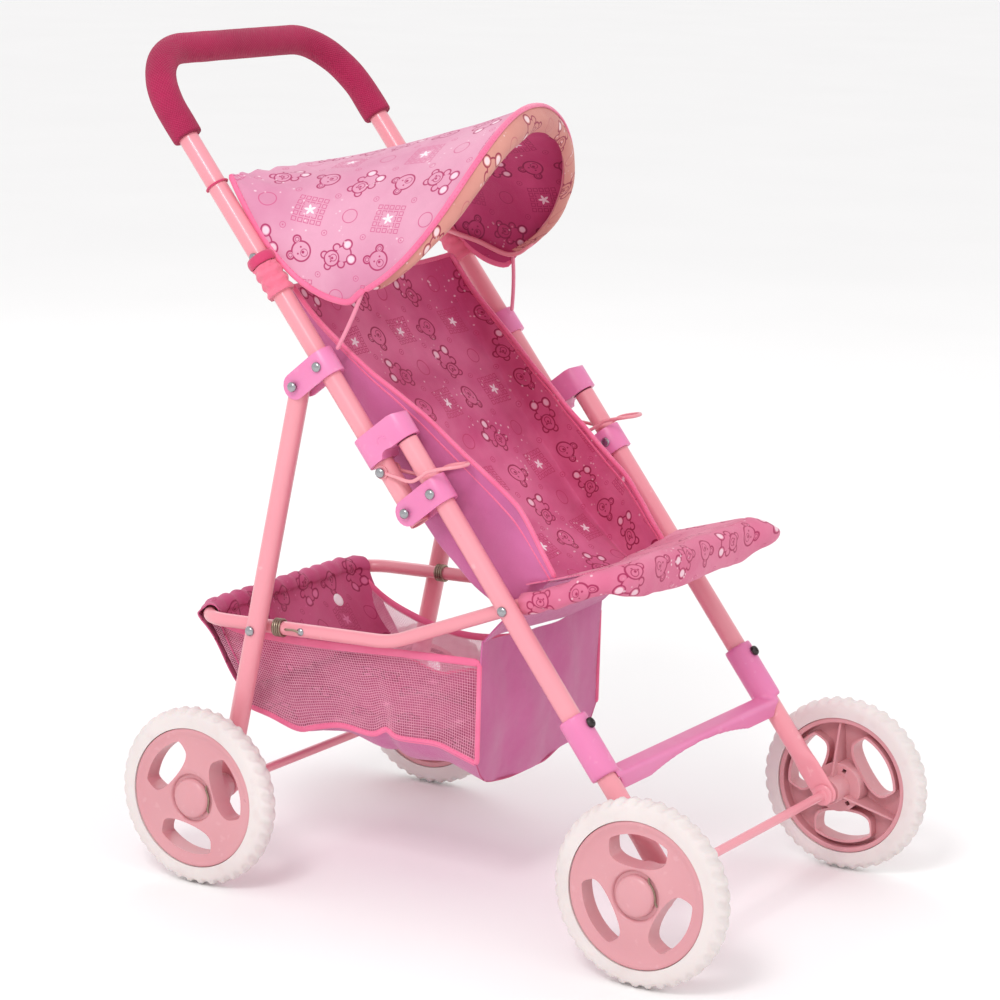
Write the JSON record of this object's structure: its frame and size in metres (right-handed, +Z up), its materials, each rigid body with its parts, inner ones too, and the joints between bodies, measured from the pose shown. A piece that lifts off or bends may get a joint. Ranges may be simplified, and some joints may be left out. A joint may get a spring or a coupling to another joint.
{
  "type": "doll stroller",
  "caption": "Folding toy stroller for a doll: bent tube frame with plain wheels, foam-gripped push handle, hooped canopy, sling seat with calf rest, and a mesh basket under the seat.",
  "frame": {"origin": "on the floor, under the middle of the bounding box", "axes": "+Z up, -Y the way the stroller travels, +X the stroller's own left side"},
  "size_m": [0.3046, 0.4748, 0.5414],
  "materials": {
    "pink_paint": "gloss powder coat on steel tube and wire",
    "pink_plastic": "satin moulded plastic",
    "grip_foam": "ribbed matt foam",
    "hub_plastic": "satin moulded plastic",
    "tyre": "matt foamed plastic with a slanted tread",
    "steel_fastener": "plated steel",
    "canopy_cloth": "printed polyester",
    "printed_cloth": "printed polyester with piping",
    "basket_cloth": "polyester and open mesh",
    "elastic": "round braided elastic"
  },
  "bodies": {
    "rear_frame": {"rear_leg_left": "pink_paint", "rear_leg_right": "pink_paint", "rear_cross_rod": "pink_paint", "axle_cap_rear_left": "hub_plastic", "axle_cap_rear_right": "hub_plastic", "seat_rear_rivet_left": "steel_fastener", "seat_rear_rivet_right": "steel_fastener"},
    "handle_frame": {"handle_tube": "pink_paint", "foam_grip": "grip_foam", "seat_sling": "printed_cloth", "elastic_cord_left": "elastic", "elastic_cord_right": "elastic", "upper_bracket_left": "pink_plastic", "upper_bracket_right": "pink_plastic", "upper_bracket_front_rivet_left": "steel_fastener", "upper_bracket_front_rivet_right": "steel_fastener", "rear_leg_rivet_left": "steel_fastener", "rear_leg_rivet_right": "steel_fastener", "bail_rivet_left": "steel_fastener", "bail_rivet_right": "steel_fastener", "canopy_rivet_left": "steel_fastener", "canopy_rivet_right": "steel_fastener"},
    "front_frame": {"front_cross_rod": "pink_paint", "footrest": "pink_plastic", "front_leg_left": "pink_paint", "front_leg_right": "pink_paint", "lower_bracket_left": "pink_plastic", "lower_bracket_right": "pink_plastic", "lower_bracket_front_rivet_left": "steel_fastener", "lower_bracket_front_rivet_right": "steel_fastener", "fold_rivet_left": "steel_fastener", "fold_rivet_right": "steel_fastener", "seat_front_rivet_left": "steel_fastener", "seat_front_rivet_right": "steel_fastener", "footrest_bolt_left": "steel_fastener", "footrest_bolt_right": "steel_fastener", "axle_cap_front_left": "hub_plastic", "axle_cap_front_right": "hub_plastic"},
    "seat_loop": {"seat_frame": "pink_paint", "spring_collar_left": "steel_fastener", "spring_collar_right": "steel_fastener", "calf_rest": "printed_cloth", "basket": "basket_cloth"},
    "canopy": {"canopy_hoop": "pink_paint", "canopy_fabric": "canopy_cloth"},
    "lock_left": {"lock_sleeve_left": "pink_plastic"},
    "bail_left": {"safety_bail_left": "pink_paint"},
    "lock_right": {"lock_sleeve_right": "pink_plastic"},
    "bail_right": {"safety_bail_right": "pink_paint"},
    "wheel_front_left": {"tyre_front_left": "tyre", "hub_front_left": "hub_plastic"},
    "wheel_front_right": {"tyre_front_right": "tyre", "hub_front_right": "hub_plastic"},
    "wheel_rear_left": {"tyre_rear_left": "tyre", "hub_rear_left": "hub_plastic"},
    "wheel_rear_right": {"tyre_rear_right": "tyre", "hub_rear_right": "hub_plastic"}
  },
  "joints": [
    {"name": "main_fold", "type": "hinge", "parent": "handle_frame", "child": "front_frame", "pos_m": [0, 0.0101, 0.2611], "axis": [1, 0, 0], "range_deg": [0, 134]},
    {"name": "rear_leg_fold", "type": "hinge", "parent": "rear_frame", "child": "handle_frame", "pos_m": [0, 0.09628, 0.33078], "axis": [1, 0, 0], "range_deg": [-86, 0], "deforming": ["seat_sling"]},
    {"name": "seat_fold", "type": "hinge", "parent": "front_frame", "child": "seat_loop", "pos_m": [0, -0.06076, 0.20888], "axis": [1, 0, 0], "range_deg": [-91, 0], "deforming": ["basket"]},
    {"name": "canopy_swing", "type": "hinge", "parent": "handle_frame", "child": "canopy", "pos_m": [0, 0.1289, 0.40886], "axis": [-1, 0, 0], "range_deg": [0, 30], "deforming": ["canopy_fabric", "elastic_cord_left", "elastic_cord_right"]},
    {"name": "lock_slide_left", "type": "slide", "parent": "handle_frame", "child": "lock_left", "axis": [0, 0.6266, 0.7793], "range_m": [0, 0.03]},
    {"name": "bail_swing_left", "type": "hinge", "parent": "handle_frame", "child": "bail_left", "pos_m": [0, 0.0289, 0.28448], "axis": [-1, 0, 0], "range_deg": [0, 40]},
    {"name": "lock_slide_right", "type": "slide", "parent": "handle_frame", "child": "lock_right", "axis": [0, 0.6266, 0.7793], "range_m": [0, 0.03]},
    {"name": "bail_swing_right", "type": "hinge", "parent": "handle_frame", "child": "bail_right", "pos_m": [0, 0.0289, 0.28448], "axis": [-1, 0, 0], "range_deg": [0, 40]},
    {"name": "front_wheel_left", "type": "hinge", "parent": "front_frame", "child": "wheel_front_left", "pos_m": [0, -0.1784, 0.059], "axis": [1, 0, 0], "continuous": true},
    {"name": "front_wheel_right", "type": "hinge", "parent": "front_frame", "child": "wheel_front_right", "pos_m": [0, -0.1784, 0.059], "axis": [1, 0, 0], "continuous": true},
    {"name": "rear_wheel_left", "type": "hinge", "parent": "rear_frame", "child": "wheel_rear_left", "pos_m": [0, 0.1501, 0.059], "axis": [1, 0, 0], "continuous": true},
    {"name": "rear_wheel_right", "type": "hinge", "parent": "rear_frame", "child": "wheel_rear_right", "pos_m": [0, 0.1501, 0.059], "axis": [1, 0, 0], "continuous": true}
  ],
  "couplings": [
    {"joint": "rear_leg_fold", "follows": "main_fold", "ratio": -0.636},
    {"joint": "seat_fold", "follows": "main_fold", "ratio": -0.676}
  ]
}
